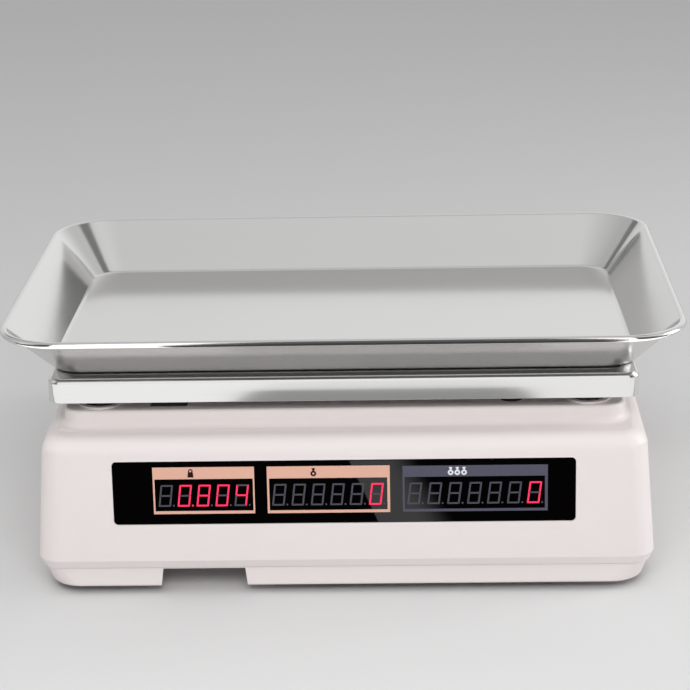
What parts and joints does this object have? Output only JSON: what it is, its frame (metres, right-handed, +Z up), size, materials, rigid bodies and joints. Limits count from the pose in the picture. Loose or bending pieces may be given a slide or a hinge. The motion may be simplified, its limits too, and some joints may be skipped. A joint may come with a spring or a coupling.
{
  "type": "counter scale",
  "caption": "Bench scale with a lift-off flared steel tray on a pan, a moulded housing, a wide display window on each side and a keypad on the vendor's side.",
  "frame": {"origin": "on the counter, under the middle of the housing", "axes": "+Z up, -Y towards the customer's display, +Y towards the vendor's keypad, +X to the right seen from the customer's side"},
  "size_m": [0.3912, 0.34, 0.1545],
  "materials": {
    "housing_plastic": "moulded, satin, warm off-white",
    "stainless_sheet": "pressed stainless sheet, satin floor and bright bead",
    "cast_aluminium": "die cast, unpainted",
    "cell_aluminium": "milled and clear anodised",
    "zinc_steel": "bright zinc plated",
    "black_rubber": "moulded",
    "smoked_acrylic": "polished, printed from behind",
    "circuit_board": "solder mask",
    "digit_module": "grey faced light-emitting digits",
    "fascia_plastic": "fine texture",
    "mat_rubber": "silicone",
    "key_light": "fine texture, printed",
    "key_blue": "fine texture, printed",
    "key_red": "fine texture, printed",
    "black_plastic": "moulded",
    "rocker_plastic": "moulded, translucent red",
    "transformer_core": "varnished laminations",
    "battery_case": "moulded",
    "vial_glass": "clear with tinted liquid",
    "foot_plastic": "moulded, ribbed edge"
  },
  "bodies": {
    "housing": {"upper_housing": "housing_plastic", "lower_housing": "housing_plastic", "calibration_cover": "housing_plastic", "load_cell": "cell_aluminium", "load_cell_block": "zinc_steel", "cell_base_screws": "zinc_steel", "overload_screws": "zinc_steel", "case_screws": "zinc_steel", "customer_window": "smoked_acrylic", "vendor_window": "smoked_acrylic", "customer_board": "circuit_board", "vendor_board": "circuit_board", "keypad_board": "circuit_board", "main_board": "circuit_board", "customer_digits": "digit_module", "vendor_digits": "digit_module", "keypad_fascia": "fascia_plastic", "key_mat": "mat_rubber", "switch_body": "black_plastic", "mains_inlet": "black_plastic", "transformer": "transformer_core", "battery": "battery_case", "level_vial": "vial_glass"},
    "spider": {"pan_spider": "cast_aluminium", "support_posts": "zinc_steel", "post_caps": "black_rubber", "cell_top_screws": "zinc_steel"},
    "pan": {"weighing_pan": "stainless_sheet", "pan_cups": "stainless_sheet"},
    "tray": {"goods_tray": "stainless_sheet"},
    "rocker": {"switch_rocker": "rocker_plastic"},
    "battery_door": {"battery_door": "housing_plastic"},
    "foot_front_left": {"foot_stud_front_left": "zinc_steel", "foot_pad_front_left": "foot_plastic"},
    "foot_front_right": {"foot_stud_front_right": "zinc_steel", "foot_pad_front_right": "foot_plastic"},
    "foot_back_left": {"foot_stud_back_left": "zinc_steel", "foot_pad_back_left": "foot_plastic"},
    "foot_back_right": {"foot_stud_back_right": "zinc_steel", "foot_pad_back_right": "foot_plastic"},
    "key_7": {"key_7": "key_light"},
    "key_8": {"key_8": "key_light"},
    "key_9": {"key_9": "key_light"},
    "key_memory_1": {"key_memory_1": "key_blue"},
    "key_zero": {"key_zero": "key_red"},
    "key_4": {"key_4": "key_light"},
    "key_5": {"key_5": "key_light"},
    "key_6": {"key_6": "key_light"},
    "key_memory_2": {"key_memory_2": "key_blue"},
    "key_tare": {"key_tare": "key_red"},
    "key_1": {"key_1": "key_light"},
    "key_2": {"key_2": "key_light"},
    "key_3": {"key_3": "key_light"},
    "key_memory_3": {"key_memory_3": "key_blue"},
    "key_add": {"key_add": "key_red"},
    "key_0": {"key_0": "key_light"},
    "key_point": {"key_point": "key_light"},
    "key_clear": {"key_clear": "key_light"},
    "key_memory_4": {"key_memory_4": "key_blue"},
    "key_total": {"key_total": "key_red"}
  },
  "joints": [
    {"name": "platform_sink", "type": "slide", "parent": "housing", "child": "spider", "axis": [0, 0, -1], "range_m": [0, 0.0005], "stiffness_N_per_m": 150000, "springref_m": -0.0004, "deforming": ["load_cell"]},
    {"name": "pan_lift", "type": "slide", "parent": "spider", "child": "pan", "axis": [0, 0, 1], "range_m": [0, 0.06]},
    {"name": "tray_lift", "type": "slide", "parent": "pan", "child": "tray", "axis": [0, 0, 1], "range_m": [0, 0.1]},
    {"name": "power_switch", "type": "hinge", "parent": "housing", "child": "rocker", "pos_m": [0.17517, 0.126, 0.03386], "axis": [-0.0698, 0, 0.9976], "range_deg": [-20, 0]},
    {"name": "battery_door_slide", "type": "slide", "parent": "housing", "child": "battery_door", "axis": [1, 0, 0], "range_m": [0, 0.035]},
    {"name": "foot_screw_front_left", "type": "slide", "parent": "housing", "child": "foot_front_left", "axis": [0, 0, -1], "range_m": [0, 0.005]},
    {"name": "foot_screw_front_right", "type": "slide", "parent": "housing", "child": "foot_front_right", "axis": [0, 0, -1], "range_m": [0, 0.005]},
    {"name": "foot_screw_back_left", "type": "slide", "parent": "housing", "child": "foot_back_left", "axis": [0, 0, -1], "range_m": [0, 0.005]},
    {"name": "foot_screw_back_right", "type": "slide", "parent": "housing", "child": "foot_back_right", "axis": [0, 0, -1], "range_m": [0, 0.005]},
    {"name": "key_7_press", "type": "slide", "parent": "housing", "child": "key_7", "axis": [0, -0.2672, -0.9636], "range_m": [0, 0.002], "stiffness_N_per_m": 300, "springref_m": -0.0015},
    {"name": "key_8_press", "type": "slide", "parent": "housing", "child": "key_8", "axis": [0, -0.2672, -0.9636], "range_m": [0, 0.002], "stiffness_N_per_m": 300, "springref_m": -0.0015},
    {"name": "key_9_press", "type": "slide", "parent": "housing", "child": "key_9", "axis": [0, -0.2672, -0.9636], "range_m": [0, 0.002], "stiffness_N_per_m": 300, "springref_m": -0.0015},
    {"name": "key_memory_1_press", "type": "slide", "parent": "housing", "child": "key_memory_1", "axis": [0, -0.2672, -0.9636], "range_m": [0, 0.002], "stiffness_N_per_m": 300, "springref_m": -0.0015},
    {"name": "key_zero_press", "type": "slide", "parent": "housing", "child": "key_zero", "axis": [0, -0.2672, -0.9636], "range_m": [0, 0.002], "stiffness_N_per_m": 300, "springref_m": -0.0015},
    {"name": "key_4_press", "type": "slide", "parent": "housing", "child": "key_4", "axis": [0, -0.2672, -0.9636], "range_m": [0, 0.002], "stiffness_N_per_m": 300, "springref_m": -0.0015},
    {"name": "key_5_press", "type": "slide", "parent": "housing", "child": "key_5", "axis": [0, -0.2672, -0.9636], "range_m": [0, 0.002], "stiffness_N_per_m": 300, "springref_m": -0.0015},
    {"name": "key_6_press", "type": "slide", "parent": "housing", "child": "key_6", "axis": [0, -0.2672, -0.9636], "range_m": [0, 0.002], "stiffness_N_per_m": 300, "springref_m": -0.0015},
    {"name": "key_memory_2_press", "type": "slide", "parent": "housing", "child": "key_memory_2", "axis": [0, -0.2672, -0.9636], "range_m": [0, 0.002], "stiffness_N_per_m": 300, "springref_m": -0.0015},
    {"name": "key_tare_press", "type": "slide", "parent": "housing", "child": "key_tare", "axis": [0, -0.2672, -0.9636], "range_m": [0, 0.002], "stiffness_N_per_m": 300, "springref_m": -0.0015},
    {"name": "key_1_press", "type": "slide", "parent": "housing", "child": "key_1", "axis": [0, -0.2672, -0.9636], "range_m": [0, 0.002], "stiffness_N_per_m": 300, "springref_m": -0.0015},
    {"name": "key_2_press", "type": "slide", "parent": "housing", "child": "key_2", "axis": [0, -0.2672, -0.9636], "range_m": [0, 0.002], "stiffness_N_per_m": 300, "springref_m": -0.0015},
    {"name": "key_3_press", "type": "slide", "parent": "housing", "child": "key_3", "axis": [0, -0.2672, -0.9636], "range_m": [0, 0.002], "stiffness_N_per_m": 300, "springref_m": -0.0015},
    {"name": "key_memory_3_press", "type": "slide", "parent": "housing", "child": "key_memory_3", "axis": [0, -0.2672, -0.9636], "range_m": [0, 0.002], "stiffness_N_per_m": 300, "springref_m": -0.0015},
    {"name": "key_add_press", "type": "slide", "parent": "housing", "child": "key_add", "axis": [0, -0.2672, -0.9636], "range_m": [0, 0.002], "stiffness_N_per_m": 300, "springref_m": -0.0015},
    {"name": "key_0_press", "type": "slide", "parent": "housing", "child": "key_0", "axis": [0, -0.2672, -0.9636], "range_m": [0, 0.002], "stiffness_N_per_m": 300, "springref_m": -0.0015},
    {"name": "key_point_press", "type": "slide", "parent": "housing", "child": "key_point", "axis": [0, -0.2672, -0.9636], "range_m": [0, 0.002], "stiffness_N_per_m": 300, "springref_m": -0.0015},
    {"name": "key_clear_press", "type": "slide", "parent": "housing", "child": "key_clear", "axis": [0, -0.2672, -0.9636], "range_m": [0, 0.002], "stiffness_N_per_m": 300, "springref_m": -0.0015},
    {"name": "key_memory_4_press", "type": "slide", "parent": "housing", "child": "key_memory_4", "axis": [0, -0.2672, -0.9636], "range_m": [0, 0.002], "stiffness_N_per_m": 300, "springref_m": -0.0015},
    {"name": "key_total_press", "type": "slide", "parent": "housing", "child": "key_total", "axis": [0, -0.2672, -0.9636], "range_m": [0, 0.002], "stiffness_N_per_m": 300, "springref_m": -0.0015}
  ]
}
